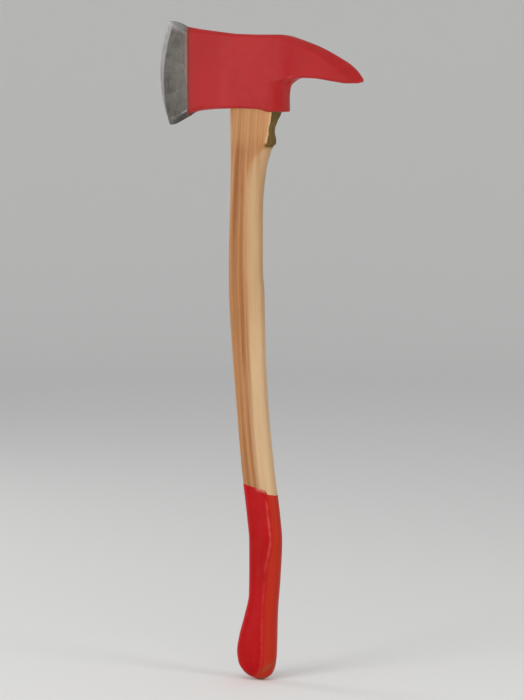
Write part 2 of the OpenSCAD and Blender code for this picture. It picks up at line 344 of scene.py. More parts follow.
HEAD_CURVES = [Curve(np.column_stack([np.arange(len(HEAD)), HEAD[:, c]]))
               for c in range(HEAD.shape[1])]
BIT_GAP, STEEL_GAP = 0.55, 2.6  # between sections of the bit, and under the paint
PAINT_GAP, LINING_GAP = 1.1, 3.2  # between sections of the paint, and of its inside
PAINT_SEAT = 0.03  # between the steel and the paint's inside
PATH_STEPS = 6000
# Points up the two ends of a section's side, and the number between them
SIDE_ENDS = np.array([0, 0.12, 0.3, 0.55, 0.9, 1.35, 1.9, 2.6, 3.5, 4.6])
SIDE_MIDDLE = 58
SIDE_END_SHARE = 0.3  # an end takes at most this much of the side
# Roundings between a bevel and the cheek, and at a ridge, with their greatest shares
# of the wall and of the ridge
CREASE, CORNER, CREASE_SHARE, CORNER_SHARE = 1.1, 1.2, 0.25, 0.75
THIN_SHARE, THINNEST_SHARE = 0.3, 0.25  # of the edge's thickness, kept everywhere


def head_stations(first, last, gap):
    """Stations about gap millimetres apart, as fractions of the table's rows."""
    fine = np.linspace(first, last, PATH_STEPS)
    steps = np.diff([curve(fine) for curve in HEAD_CURVES[:4]])
    longer = np.maximum(np.hypot(*steps[:2]), np.hypot(*steps[2:]))
    run = np.concatenate([[0], np.cumsum(longer)])
    count = max(2, int(run[-1] / gap))
    return np.interp(np.linspace(0, run[-1], count), run, fine)


def blur(values):
    """Rounds the corners of an outline given column by column; its ends stay."""
    for _ in range(2):
        values[1:-1] = (values[:-2] + 2 * values[1:-1] + values[2:]) / 4


def head_side(stations, grow):
    """Far sides of the sections, bottom to top: columns x points x 3."""
    tx, tz, bx, bz, share, top_bevel, top_ridge, low_bevel, low_ridge, bow = [
        curve(stations)[:, None] for curve in HEAD_CURVES]
    for outline in (tx, tz, bx, bz):
        blur(outline)
    reach = np.hypot(tx - bx, tz - bz)
    half = EDGE_T / 2 + (CHEEK_T - EDGE_T) / 2 * share
    top_bevel = np.minimum(top_bevel, reach * TOP_BEVEL_SHARE)
    low_bevel = np.minimum(low_bevel, reach * LOW_BEVEL_SHARE)
    scale = np.minimum(1, reach * SIDE_END_SHARE / SIDE_ENDS[-1])
    low = SIDE_ENDS[None, :] * scale
    middle = np.linspace(0, 1, SIDE_MIDDLE + 2)[None, 1:-1]
    middle = low[:, -1:] + (reach - 2 * low[:, -1:]) * middle
    u = np.concatenate([low, middle, reach - low[:, ::-1]], 1)
    share_up = u / reach
    stretch = grow * (2 * share_up - 1) / reach
    forward = bow * 4 * share_up * (1 - share_up) * (1 + BOW_SKEW * (0.5 - share_up))
    x = bx + (tx - bx) * (share_up + stretch) - forward
    z = bz + (tz - bz) * (share_up + stretch)
    lug = LUG(x) + LUG_FREE * ease((z - LUG_TOP) / LUG_MERGE)
    wall = soft_min(half + 0 * x, lug, LUG_CREASE)
    low_edge = EDGE_T / 2 + low_ridge
    top_edge = EDGE_T / 2 + top_ridge
    rise_low = low_edge + np.maximum(wall - low_edge, RIDGE_GAP) * u / low_bevel
    rise_top = top_edge + np.maximum(wall - top_edge, RIDGE_GAP) * (reach - u) / top_bevel
    width = np.minimum(CREASE, wall * CREASE_SHARE)
    y = soft_min(soft_min(wall, rise_low, width), rise_top, width)
    y = np.maximum(y, EDGE_T * THIN_SHARE)
    for away, edge in ((u, low_edge), (reach - u, top_edge)):
        radius = np.minimum(CORNER, edge * CORNER_SHARE)
        inside = np.clip(radius - away, 0, None)
        y = y - (radius - np.sqrt(np.maximum(radius ** 2 - inside ** 2, 0)))
    return np.stack([x, np.maximum(y, EDGE_T * THINNEST_SHARE) + grow, z], -1)


def head_rings(stations, grow):
    """Whole sections: up the near side and down the far one."""
    side = head_side(stations, grow)
    near = side * np.array([1, -1, 1])
    return np.concatenate([near, side[:, ::-1]], 1)


FORGE_AMOUNT, FORGE_SEED = 0.2, 3
FORGE_GRAINS = (34, 9)  # coarse and fine
FORGE_FADE = 6  # half thickness below which the skin keeps its shape
DENT_STEEPNESS = 1.6
DENT_CLEAR = 2  # half thickness below which nothing is dented
# Worn hollows in the cheeks: x, z, length along x, along z, depth
CHEEK_DENTS = [(-72, 96, 9, 3, 0.2), (60, 47, 8, 3, 0.45), (5, 30, 26, 12, 0.15),
               (95, 66, 12, 6, 0.3), (-60, 14, 7, 4, 0.2), (30, 92, 10, 4, 0.15)]


def marked(rings):
    """Presses a head skin in unevenly, as hammered steel is, and dents its cheeks."""
    broad = rough(rings, FORGE_GRAINS[0], FORGE_SEED)
    fine = rough(rings, FORGE_GRAINS[1], FORGE_SEED + 1)
    x, y, z = np.moveaxis(rings, -1, 0)
    flat = np.clip(np.abs(y) / FORGE_FADE, 0, 1)
    y += np.sign(y) * (FORGE_AMOUNT * flat * (0.65 * broad + 0.35 * fine - 0.5))
    for at_x, at_z, long_x, long_z, depth in CHEEK_DENTS:
        away = ((x - at_x) / long_x) ** 2 + ((z - at_z) / long_z) ** 2
        fall = depth * np.exp(-away * DENT_STEEPNESS)
        y -= np.where(np.abs(y) > DENT_CLEAR, np.sign(y) * fall, 0)
    return rings


# Nicks in the cutting edge: height, half width, depth
NICKS = ((104, 1.6, 0.8), (71, 1.1, 0.5), (38, 2.2, 0.9), (9, 1.3, 0.6),
         (-8, 1.8, 0.8), (88, 0.9, 0.4))
NICK_REACH = 0.55  # stations from the edge over which the nicks fade out
NICK_SHARE = 0.6  # of their depth that is cut
WAVER, WAVER_GRAIN = 0.12, 7.0


def nick_edge(rings, stations):
    """Small blunt nicks and a wavering line along the cutting edge."""
    near_edge = ease(1 - stations / NICK_REACH)[:, None]
    z = rings[..., 2]
    waver = np.array([noise.noise(Vector((0, 0, v / WAVER_GRAIN))) for v in z[0]])
    nicks = np.zeros_like(waver)
    for at, width, depth in NICKS:
        nicks += depth * hump(z[0] - at, width)
    rings[..., 0] += near_edge * (WAVER * (waver + 1) + NICK_SHARE * nicks)
    return rings


def make_forging():
    bit = head_stations(0, PAINT_STATION, BIT_GAP)
    rest = head_stations(PAINT_STATION, TIP_STATION, STEEL_GAP)[1:]
    stations = np.concatenate([bit, rest])
    rings = nick_edge(marked(head_rings(stations, 0)), stations)
    count = rings.shape[1]
    last = (len(stations) - 1) * count
    faces = (skin(len(stations), count) + strip(0, count, flip=True)
             + strip(last, count))
    return make_object("forging", rings.reshape(-1, 3), faces)


# The paint's thickness at its first rings, as a share of the rest
HEAD_LIP = np.array([0.15, 0.75, 1.15, 1.05])[:, None, None]
GRIP_LIP = np.array([0.1, 0.7, 1.2, 1.15, 1.0])[:, None, None]
LINE_WAVER, LINE_GRAIN, LINE_SHIFT = 0.35, 9, 0.1  # the head's paint line


def thin_lip(outer, plain, lip):
    """Feathers the paint's first rings down towards what they lie on."""
    count = len(lip)
    outer[:count] = plain[:count] + (outer[:count] - plain[:count]) * lip


def make_enamel():
    """Closed skin of paint behind the bit, with a soft lip at the paint line."""
    stations = head_stations(PAINT_STATION, TIP_STATION, PAINT_GAP)
    outer = marked(head_rings(stations, ENAMEL_T))
    thin_lip(outer, marked(head_rings(stations, PAINT_SEAT)), HEAD_LIP)
    waver = np.array([noise.noise(Vector((3, p[1] / LINE_GRAIN, p[2] / LINE_GRAIN)))
                      for p in outer[0]])
    outer[0, :, 0] += LINE_WAVER * waver - LINE_SHIFT
    outer[-1, :, 0] += ENAMEL_T
    inside = head_stations(PAINT_STATION, TIP_STATION, LINING_GAP)
    inner = marked(head_rings(inside, PAINT_SEAT))
    inner[0, :, 0] = outer[0, :, 0]
    return shell("head_paint", outer, inner)


# ---- Eye and handle ----

RING = 144  # points round the handle
OVAL_POINTS = 1440  # points round an outline before they are spaced evenly
CREST_FALL = 0.28  # how steeply the handle's sides thin towards its back
CREST_ROUNDING = 1.0
CREST_TOP, CREST_FOOT, CREST_FADE = 50, 4, 40  # where the crests start and stop


def oval(cx, half_len, half_w, front_power, back_power):
    """Superellipse outline, from its backmost point."""
    angle = np.linspace(0, 2 * math.pi, OVAL_POINTS + 1)[:-1]
    exponent = np.where(np.cos(angle) > 0, 2 / back_power, 2 / front_power)
    x = cx + half_len * power(np.cos(angle), exponent)
    y = half_w * power(np.sin(angle), exponent)
    return x, y


def even(x, y):
    """Spaces RING points evenly along a closed outline."""
    x, y = np.append(x, x[0]), np.append(y, y[0])
    run = np.concatenate([[0], np.cumsum(np.hypot(np.diff(x), np.diff(y)))])
    at = np.linspace(0, run[-1], RING + 1)[:-1]
    return np.column_stack([np.interp(at, run, x), np.interp(at, run, y)])


def level(z, x):
    """The sections near the head lean with its underside, and the top one meets it."""
    fade = np.clip(np.where(z > 0, 1 - z / FADE_UP, 1 + z / FADE_DOWN), 0, 1)
    settle = UNDERSIDE(x) + UNDERSIDE_FALL * x - HEAD_GAP
    near = np.where(z > 0, 0, ease(1 + z / SETTLE_DEPTH))
    return z - UNDERSIDE_FALL * x * fade + settle * near


def eye_ring(z, grow=0.0):
    """The eye's outline at one height."""
    flare = EYE_FLARE / 2 * EYE_FLARE_AT(z)
    xy = even(*oval(0, EYE_LEN / 2 + flare * EYE_STRETCH + grow, EYE_W / 2 + flare + grow,
                    EYE_POWER, EYE_POWER))
    return np.column_stack([xy, level(z, xy[:, 0])])


def section(depth, grow=0.0):
    """Outline of the handle at one depth, before noise."""
    front, back = FRONT(depth), BACK(depth)
    half = HANDLE_HALF * HALF(depth) + grow
    x, y = oval((front + back) / 2, (back - front) / 2 + grow, half,
                FRONT_POWER(depth), BACK_POWER(depth))
    shaft = (ease((depth - CREST_TOP) / CREST_FADE)
             * ease((HANDLE_END - CREST_FOOT - depth) / CREST_FADE))
    limit = half - CREST_FALL * shaft * (x - (back - CREST(depth)))
    crest = soft_min(np.abs(y), np.maximum(limit, 1), CREST_ROUNDING)
    return even(x, np.sign(y) * np.maximum(crest, 0))


DEPTHS = np.concatenate([np.arange(0, 780, 1.0), np.arange(780, HANDLE_END, 0.5),
                         [HANDLE_END]])


def section_table(grow):
    return np.stack([section(d, grow) for d in DEPTHS])


def handle_points(table, depth):
    """Places on the handle's skin: depth gives rings x points."""
    i = np.clip(np.searchsorted(DEPTHS, depth, side="right") - 1, 0, len(DEPTHS) - 2)
    t = (depth - DEPTHS[i]) / (DEPTHS[i + 1] - DEPTHS[i])
    k = np.broadcast_to(np.arange(RING), depth.shape)
    xy = table[i, k] * (1 - t)[..., None] + table[i + 1, k] * t[..., None]
    return np.concatenate([xy, level(-depth, xy[..., 0])[..., None]], -1)


def shoulder_back(y, depth):
    """How far back the chopped face at the top of the handle reaches, at y."""
    near, far = NEAR_RIDGE(depth), BACK(depth)
    half = HANDLE_HALF * HALF(depth)
    across = np.clip((y + half) / (2 * half), 0, 1)
    return np.minimum(near, far) + np.maximum(far - near, 0) * across


CHOP_END = 54  # depth at which the chopped face has run out
TORN_END = 52  # depth at which its fibres have
TORN_SKIN = 1.2  # thickness of the torn layer
# Stretch along the handle, grain and seed of the wood's noises
SHAFT_NOISE, TORN_NOISE, CHIP_NOISE = (6, 16, 11), (3.2, 2.2, 23), (1.8, 7, 29)
# Hollow under each ridge: side, x, depth of cut; and how deep down it is
HOLLOWS = ((-1, 21.4, 2.6), (1, 23, 1.5))
HOLLOW_AT, HOLLOW_LONG, HOLLOW_TALL, HOLLOW_STEEPNESS = 48.6, 3.2, 2.7, 1.3
LIP_AT, LIP_TALL, LIP_LONG = 52.5, 2, 12


def grained(points, stretch, size, seed):
    """Noise that is drawn out along the handle."""
    return rough(points / np.array([1, 1, stretch]), size, seed)


def carve(points, depth):
    """Wavers the wood and cuts the torn shoulder at the back of the handle."""
    chopped = depth < CHOP_END
    x, y = points[..., 0], points[..., 1]
    x = np.where(chopped, np.minimum(x, shoulder_back(y, depth)), x)
    back = BACK(depth)
    out_x = x - (FRONT(depth) + back) / 2
    length = np.maximum(np.hypot(out_x, y), 1e-6)
    push = 0.2 * grained(points, *SHAFT_NOISE) - 0.18
    # torn fibres across the chopped face
    behind = shoulder_back(y, depth)
    at_back = (ease(x - (behind - TORN_SKIN)) * ease((TORN_END - depth) / 5)
               * ease(depth / 4))
    torn = grained(points, *TORN_NOISE)
    push = push + at_back * (0.5 * torn + 0.8 * grained(points, *CHIP_NOISE) - 0.9)
    # hollow that bites into the side under the ridge, above the lip
    for side, place, deep in HOLLOWS:
        away = ((x - place) / HOLLOW_LONG) ** 2 + ((depth - HOLLOW_AT) / HOLLOW_TALL) ** 2
        push = push - deep * np.exp(-away * HOLLOW_STEEPNESS) * (np.sign(y) == side)
    # lip of wood curling off below the hollow
    lip = hump(depth - LIP_AT, LIP_TALL) * ease((x - (back - LIP_LONG)) / 5)
    push = push + 0.3 * lip * (1 + torn)
    points[..., 0] = x + out_x / length * push
    points[..., 1] = y + y / length * push
    return points


# Depths of the wood's rings: close at the shoulder, the paint line and the foot
WOOD_DEPTHS = np.concatenate([
    np.arange(0, 62, 0.7), np.arange(62, 500, 2.6), np.arange(500, 548, 1.2),
    np.arange(548, 770, 3.2), np.arange(770, HANDLE_END, 1.4), [HANDLE_END]])
BURIED_FROM, BURIED_FADE, BURIED_BY = 536, 8, 0.25  # wood drawn in under the grip


def make_handle():
    """The wood: tongue, shaft and foot in one closed skin."""
    grid = np.repeat(WOOD_DEPTHS[:, None], RING, 1)
    below = carve(handle_points(section_table(0.0), grid), grid)
    below[..., 2] -= ENAMEL_T * ease(1 - grid / 3)
    buried = ease((grid - BURIED_FROM) / BURIED_FADE)
    middle = (FRONT(grid) + BACK(grid)) / 2
    below[..., 0] -= buried * BURIED_BY * np.sign(below[..., 0] - middle)
    tongue = [eye_ring(z, -TONGUE_PLAY) for z in EYE_LEVELS]
    foot = eye_ring(0, -TONGUE_PLAY)
    foot[:, 2] -= ENAMEL_T
    rings = np.concatenate([np.stack(tongue + [foot]), below])
    count = len(rings)
    points = np.concatenate([rings.reshape(-1, 3),
                             [[0, 0, TOP_Z]], [rings[-1].mean(0)]])
    faces = (skin(count, RING) + fan(0, RING, count * RING, flip=True)
             + fan((count - 1) * RING, RING, count * RING + 1))
    return make_object("hickory_handle", points, faces)


GRIP_STEP_AT, GRIP_STEP_LONG = 19, 3
RAGGED, RAGGED_NOISES = 0.4, ((3.4, 31), (9, 37))  # size; each noise's grain and seed
SPLIT_TOP, SPLIT_FOOT, SPLIT_MIDDLE = 610, 643, 626
SPLIT_X, SPLIT_SLOPE, SPLIT_HALF, SPLIT_DEPTH = 13.4, 0.02, 0.8, 0.6


def paint_depth(x, y):
    """Depth of the grip's paint line: tilted, stepped and a little ragged."""
    line = GRIP_START + GRIP_SLOPE * x
    line = line + GRIP_STEP * ease((x - GRIP_STEP_AT) / GRIP_STEP_LONG)
    spots = np.stack([x, y, np.zeros_like(x)], -1)
    for size, seed in RAGGED_NOISES:
        line = line + RAGGED * rough(spots, size, seed)
    return line


def scar_grip(points, depth):
    """The split in the grip's paint, on the near side."""
    x, y = points[..., 0], points[..., 1]
    along = ease((depth - SPLIT_TOP) / 6) * ease((SPLIT_FOOT - depth) / 8)
    middle = SPLIT_X + SPLIT_SLOPE * (depth - SPLIT_MIDDLE)
    split = hump(x - middle, SPLIT_HALF) * along * (y < 0)
    points[..., 1] = y + SPLIT_DEPTH * split
    return points


# Distances of the grip's rings below its paint line
GRIP_RINGS = np.concatenate([[0, 0.35, 0.9, 1.6, 2.6], np.arange(4, 262, 1.5)])
LINE_PASSES = 4  # the line's depth depends on x, and x on the depth
LINING_STRIDE = 3  # the paint's inside has one ring for each of these


def make_grip():
    """Closed skin of paint on the foot, with a soft lip at the paint line."""
    table, inner_table = section_table(ENAMEL_T), section_table(0.0)
    start = np.full(RING, GRIP_START)
    for _ in range(LINE_PASSES):
        at = handle_points(table, start[None, :])[0]
        start = paint_depth(at[:, 0], at[:, 1])
    share = (GRIP_RINGS / GRIP_RINGS[-1])[:, None]
    depth = start[None, :] + (HANDLE_END - start)[None, :] * share
    outer = scar_grip(carve(handle_points(table, depth), depth), depth)
    inner_grid = depth[::LINING_STRIDE]
    inner_grid[-1] = HANDLE_END
    inner = carve(handle_points(inner_table, inner_grid), inner_grid)
    first = depth[:len(GRIP_LIP)]
    thin_lip(outer, carve(handle_points(inner_table, first), first), GRIP_LIP)
    outer[-1, :, 2] -= ENAMEL_T
    return shell("grip_paint", outer, inner, domed=True)


def make_eye_cutter():
    """The space inside the eye, longer than the head at both ends."""
    rings = [eye_ring(z) for z in EYE_LEVELS]
    top, low = rings[0] + [0, 0, EYE_OVERRUN], rings[-1] - [0, 0, EYE_OVERRUN]
    rings = np.stack([top] + rings + [low])
    count = len(rings)
    faces = (skin(count, RING) + [tuple(range(RING))[::-1]]
             + [tuple(range((count - 1) * RING, count * RING))])
    return make_object("eye_cutter", rings.reshape(-1, 3), faces)


# ---- Wedges ----

def prism(name, outline, low, high, axis):
    """Extrudes an (across, z) outline along axis 0 or 1, x or y."""
    ends = [np.insert(np.array(outline, float), axis, at, axis=1) for at in (low, high)]
    n = len(outline)
    faces = [(k, (k + 1) % n, n + (k + 1) % n, n + k) for k in range(n)]
    faces += [tuple(range(n))[::-1], tuple(range(n, 2 * n))]
    return make_object(name, np.concatenate(ends), faces)


def fix_normals(piece):
    """Turns every face of a closed piece outwards."""
    shape = bmesh.new()
    shape.from_mesh(piece.data)
    bmesh.ops.recalc_face_normals(shape, faces=shape.faces)
    shape.to_mesh(piece.data)
    shape.free()
    return piece


def taper(thickness, depth, foot_half, slot):
    """Outline of a wedge, or of the slot that it fits."""
    extra, rise = (SLOT_PLAY, SLOT_RISE) if slot else (0, 0)
    half, thin = thickness / 2 + extra, foot_half + extra
    foot = TOP_Z - depth
    return [(-thin, foot), (thin, foot), (half, TOP_Z),
            (half, TOP_Z + rise), (-half, TOP_Z + rise), (-half, TOP_Z)]


def make_wedge(name, slot=False):
    outline = taper(WEDGE_T, WEDGE_DEPTH, WEDGE_FOOT, slot)
    return fix_normals(prism(name, outline, -WEDGE_REACH, WEDGE_REACH, 0))


def rounded(piece, width):
    """Rounds a piece's edges by width, in millimetres."""
    bevel = piece.modifiers.new("edge", "BEVEL")
    bevel.width = width * MM
    bevel.segments = 2
    bevel.limit_method = "ANGLE"
    apply_modifiers(piece)
    return piece


def make_pins(name, slot=False):
    outline = taper(PIN_T, PIN_DEPTH, PIN_FOOT, slot)
    half = PIN_LEN / 2 + (SLOT_PLAY if slot else 0)
    pins = []
    for side in (-1, 1):
        pin = prism(f"{name}_{side + 1}", outline, -half, half, 1)
        pin.data.transform(Matrix.Translation((side * PIN_AT * MM, 0, 0)))
        pins.append(fix_normals(pin))
    return pins


def join(pieces, name):
    """One object from several, which are discarded."""
    points, faces = [], []
    for piece in pieces:
        first = sum(len(p) for p in points)
        points.append(positions(piece))
        faces += [tuple(first + v for v in f.vertices) for f in piece.data.polygons]
        discard(piece)
    return make_object(name, np.concatenate(points), faces)


# ---- Material building ----

def rgb(r, g, b):
    """An sRGB colour, 0 to 255, as the linear colour Blender uses."""
    def linear(c):
        c = c / 255
        return c / 12.92 if c <= 0.04045 else ((c + 0.055) / 1.055) ** 2.4
    return (linear(r), linear(g), linear(b), 1.0)


class Graph:
    """Short hand for a procedural material's nodes."""

    def __init__(self, name):
        self.material = bpy.data.materials.new(name)
        self.material.use_nodes = True
        self.tree = self.material.node_tree
        self.shader = self.tree.nodes["Principled BSDF"]

    def put(self, socket, value):
        if isinstance(value, bpy.types.NodeSocket):
            self.tree.links.new(value, socket)
        else:
            socket.default_value = value

    def node(self, kind, inputs, **settings):
        """First output of a new node; inputs are numbers, colours or sockets."""
        node = self.tree.nodes.new("ShaderNode" + kind)
        for key, value in settings.items():
            setattr(node, key, value)
        for key, value in inputs.items():
            self.put(node.inputs[key], value)
        return node.outputs[0]

    def math(self, operation, a, b):
        return self.node("Math", {0: a, 1: b}, operation=operation)

    def times(self, a, b):
        return self.math("MULTIPLY", a, b)

    def total(self, *parts):
        """Sum of (socket, share) pairs."""
        parts = [self.times(value, share) for value, share in parts]
        result = parts.pop()
        while parts:
            result = self.math("ADD", parts.pop(), result)
        return result

    def field(self, name, out="Fac"):
        """One of the fields stored at the piece's vertices."""
        node = self.tree.nodes.new("ShaderNodeAttribute")
        node.attribute_name = name
        return node.outputs[out]

    def place(self):
        return self.tree.nodes.new("ShaderNodeTexCoord").outputs["Object"]

    def noise(self, vector, scale, detail=3.0, rough=0.5, distortion=0.0, squeeze=None):
        """Noise; squeeze shares its scale out to the three axes."""
        if squeeze:
            vector = self.node("Mapping", {"Vector": vector, "Scale": squeeze})
        return self.node("TexNoise", {"Vector": vector, "Scale": scale, "Detail": detail,
                                      "Roughness": rough, "Distortion": distortion})

    def span(self, value, low, high, to_low=0.0, to_high=1.0):
        """Maps low..high smoothly onto to_low..to_high, and holds the ends."""
        return self.node("MapRange", {"Value": value, "From Min": low, "From Max": high,
                                      "To Min": to_low, "To Max": to_high},
                         interpolation_type="SMOOTHSTEP")

    def mix(self, factor, a, b):
        """Mixes two colours, each a socket or an sRGB triple."""
        node = self.tree.nodes.new("ShaderNodeMix")
        node.data_type = "RGBA"
        for index, value in ((0, factor), (6, a), (7, b)):
            self.put(node.inputs[index], rgb(*value) if isinstance(value, tuple) else value)
        return node.outputs[2]

    def tint(self, tone, colour, mask, share):
        """Mixes a share of a colour in where the mask is strong."""
        return self.mix(self.times(mask, share), tone, colour)

    def bump(self, height, distance, strength):
        return self.node("Bump", {"Strength": strength, "Distance": distance,
                                  "Height": height})

    def finish(self, **sockets):
        for name, value in sockets.items():
            self.put(self.shader.inputs[name.replace("_", " ")], value)
        return self.material


def steel_material():
    """Ground steel: soft clouds, fine grinding lines, scratches, small pits, a painted
    highlight on the heel's ridge and painted shade on the bevel below it.
    """
    g = Graph("ground_steel")
    place = g.place()
    cloud = g.noise(place, 60, 4, 0.55)
    mottle = g.noise(place, 260, 3, 0.6)
    brush = g.noise(place, 1700, 2, 0.6, squeeze=(1, 1, 0.06))
    cross = g.noise(place, 2300, 2, 0.6, squeeze=(0.08, 1, 1))
    pits = g.span(g.noise(place, 700, 2, 0.5), 0.7, 0.76)
    scratch = g.span(g.noise(place, 330, 1, 0.4, 0.6, squeeze=(1, 1, 0.22)),
                     0.69, 0.72)
    rubbed = g.span(g.noise(place, 290, 2, 0.5, squeeze=(1, 1, 0.4)), 0.58, 0.7)
    tone = g.mix(g.span(cloud, 0.3, 0.7), (74, 71, 68), (101, 98, 95))
    tone = g.mix(g.span(mottle, 0.4, 0.72, 0, 0.35), tone, (66, 62, 54))
    tone = g.tint(tone, (56, 53, 50), brush, 0.18)
    tone = g.tint(tone, (130, 127, 124), scratch, 0.3)
    tone = g.tint(tone, (136, 133, 130), rubbed, 0.2)
    # lighter grinding near the cutting edge and the toe, with a painted highlight along the
    # heel's ridge
    tone = g.mix(g.field("ground"), tone, (146, 145, 145))
    # painted shade on the heel's lower bevel
    tone = g.tint(tone, (84, 78, 79), g.field("shaded"), 0.3)
    tone = g.tint(tone, (54, 50, 44), pits, 0.5)
    film = g.times(g.field("feather"), g.span(mottle, 0.3, 0.55, 0.55, 1.0))
    tone = g.mix(film, tone, (124, 84, 76))
    metal = g.math("SUBTRACT", 0.9, g.times(film, 0.7))
    shine = g.span(g.math("ADD", cloud, g.times(brush, 0.3)), 0.4, 0.9,
                   0.38, 0.54)
    height = g.total((brush, 0.5), (cross, 0.3), (pits, -1.4), (scratch, -0.9))
    return g.finish(Base_Color=tone, Metallic=metal, Roughness=shine,
                    Normal=g.bump(height, 0.00006, 0.8))


def enamel_material(name, main, shade, worn, rear, film, under, gloss, specular):
    """Brushed enamel: faint clouds, specks, edges where paint wears with painted
    highlights, rubbed places, and painted light and shade on turned faces.

    The colour for turned faces is painted shade on the head and painted light on the grip's
    back facet, and the colour for wear also paints highlights; film colours the paint's
    thin edge, and under what shows where it is gone. gloss is the range of its roughness.
    """
    g = Graph(name)
    place = g.place()
    broad = g.noise(place, 14, 3, 0.5)
    cloud = g.noise(place, 70, 4, 0.6)
    streak = g.noise(place, 380, 3, 0.6, squeeze=(1, 1, 0.08))
    peel = g.noise(place, 520, 2, 0.5)
    specks = g.span(g.noise(place, 420, 3, 0.6), 0.7, 0.8)
    tone = g.mix(g.span(broad, 0.35, 0.68), main, shade)
    tone = g.mix(g.span(cloud, 0.45, 0.78, 0, 0.07), tone, worn)
    tone = g.tint(tone, (92, 16, 14), specks, 0.3)
    scuff = g.times(g.field("scuff"), g.span(streak, 0.5, 0.68))
    tone = g.tint(tone, (140, 40, 38), scuff, 0.55)
    # paint wearing along ridges and corners, with painted highlights in the lug's crease
    # and along the grip's crest
    edge = g.times(g.field("edge"), g.span(cloud, 0.35, 0.6, 0.25, 1.0))
    tone = g.tint(tone, worn, edge, 0.45)
    # painted shade on the head's faces turned from the light, painted light on the grip's
    # back facet
    tone = g.mix(g.field("rear"), tone, rear)
    tone = g.mix(g.field("thin"), tone, film)
    bare = g.times(g.field("bare"), g.span(streak, 0.3, 0.6, 0.5, 1.0))
    tone = g.mix(bare, tone, under)
    shine = g.span(cloud, 0.3, 0.75, *gloss)
    height = g.total((peel, 0.3), (cloud, 0.35), (scuff, -0.8))
    return g.finish(Base_Color=tone, Roughness=shine,
                    Normal=g.bump(height, 0.00012, 0.6), Specular_IOR_Level=specular,
                    Sheen_Weight=0.03)


def hickory_material():
    """Hickory: fine long streaks and pores, darker heartwood and pale sapwood, with painted
    shade on the chopped shoulder, a painted highlight along its ridge and painted light on
    the lower sapwood.
    """
    g = Graph("oiled_hickory")
    grain = g.field("grain", "Vector")
    band = g.noise(grain, 110, 3, 0.5, 0.1, squeeze=(1, 0.5, 0.02))
    streak = g.noise(grain, 480, 4, 0.62, 0.05, squeeze=(1, 0.7, 0.012))
    fine = g.noise(grain, 1300, 3, 0.6, squeeze=(1, 1, 0.02))
    pore = g.noise(grain, 1100, 2, 0.5, squeeze=(1, 1, 0.045))
    line = g.noise(grain, 320, 2, 0.5, squeeze=(1, 0.8, 0.015))
    patch = g.noise(grain, 40, 3, 0.5, squeeze=(1, 1, 0.16))
    dark_line = g.span(streak, 0.54, 0.7)
    pores = g.span(pore, 0.6, 0.72)
    heart = g.mix(g.span(band, 0.34, 0.66), (153, 95, 50), (184, 129, 80))
    heart = g.mix(g.span(fine, 0.4, 0.7, 0, 0.4), heart, (146, 94, 50))
    heart = g.tint(heart, (128, 78, 36), dark_line, 0.42)
    heart = g.tint(heart, (118, 70, 34), pores, 0.4)
    sap = g.mix(g.span(band, 0.34, 0.66), (174, 135, 93), (195, 158, 117))
    sap = g.mix(g.span(fine, 0.4, 0.7, 0, 0.22), sap, (176, 134, 88))
    sap = g.tint(sap, (164, 122, 78), dark_line, 0.16)
    sap = g.tint(sap, (156, 114, 72), pores, 0.2)
    fringe = g.total((band, 0.005), (streak, 0.006))
    sapwood = g.span(g.math("ADD", g.field("sapwood"), fringe), 0.0006, 0.0122)
    # heartwood drawn lighter near the top and next to the sapwood
    heart = g.tint(heart, (200, 148, 98), g.field("fresh"), 0.5)
    heart = g.mix(g.span(line, 0.38, 0.62), g.mix(0.18, heart, (112, 66, 30)),
                  g.mix(0.18, heart, (204, 150, 100)))
    # painted light: the sapwood drawn paler down the lower handle, where the side light
    # falls more strongly
    sap = g.tint(sap, (218, 186, 146), g.field("low"), 0.55)
    wood = g.mix(sapwood, heart, sap)
    wood = g.mix(g.span(patch, 0.48, 0.75, 0, 0.3), wood, (158, 108, 64))
    # painted highlight along the shoulder's near ridge
    wood = g.tint(wood, (212, 172, 126), g.field("pale"), 0.85)
    # painted shade: the chopped shoulder's face under the head, in dark olive-brown
    stained = g.mix(g.span(band, 0.3, 0.7), (76, 56, 2), (114, 88, 18))
    stained = g.mix(g.span(streak, 0.45, 0.7, 0, 0.5), stained, (52, 36, 4))
    wood = g.mix(g.field("stain"), wood, stained)
    rings = g.noise(g.place(), 900, 3, 0.6, 0.5, squeeze=(0.12, 1, 1))
    ends = g.mix(g.span(rings, 0.4, 0.6), (128, 84, 50), (178, 134, 92))
    wood = g.tint(wood, ends, g.field("end_grain"), 0.75)
    height = g.total((fine, 0.7), (pores, -0.8))
    return g.finish(Base_Color=wood, Roughness=g.span(streak, 0.35, 0.7, 0.5, 0.66),
                    Normal=g.bump(height, 0.0001, 0.7), Specular_IOR_Level=0.25,
                    Sheen_Weight=0.03)


def wedge_wood_material():
    """Crushed end grain of the driven wooden wedge."""
    g = Graph("wedge_end_grain")
    place = g.place()
    fibre = g.noise(place, 1100, 3, 0.6, 0.3, squeeze=(0.08, 1, 0.3))
    patch = g.noise(place, 120, 3, 0.5)
    tone = g.mix(g.span(fibre, 0.38, 0.62), (96, 60, 34), (150, 104, 66))
    tone = g.mix(g.span(patch, 0.5, 0.7, 0, 0.5), tone, (84, 56, 36))
    return g.finish(Base_Color=tone, Roughness=g.span(patch, 0.3, 0.7, 0.6, 0.8),
                    Normal=g.bump(fibre, 0.0003, 0.8))


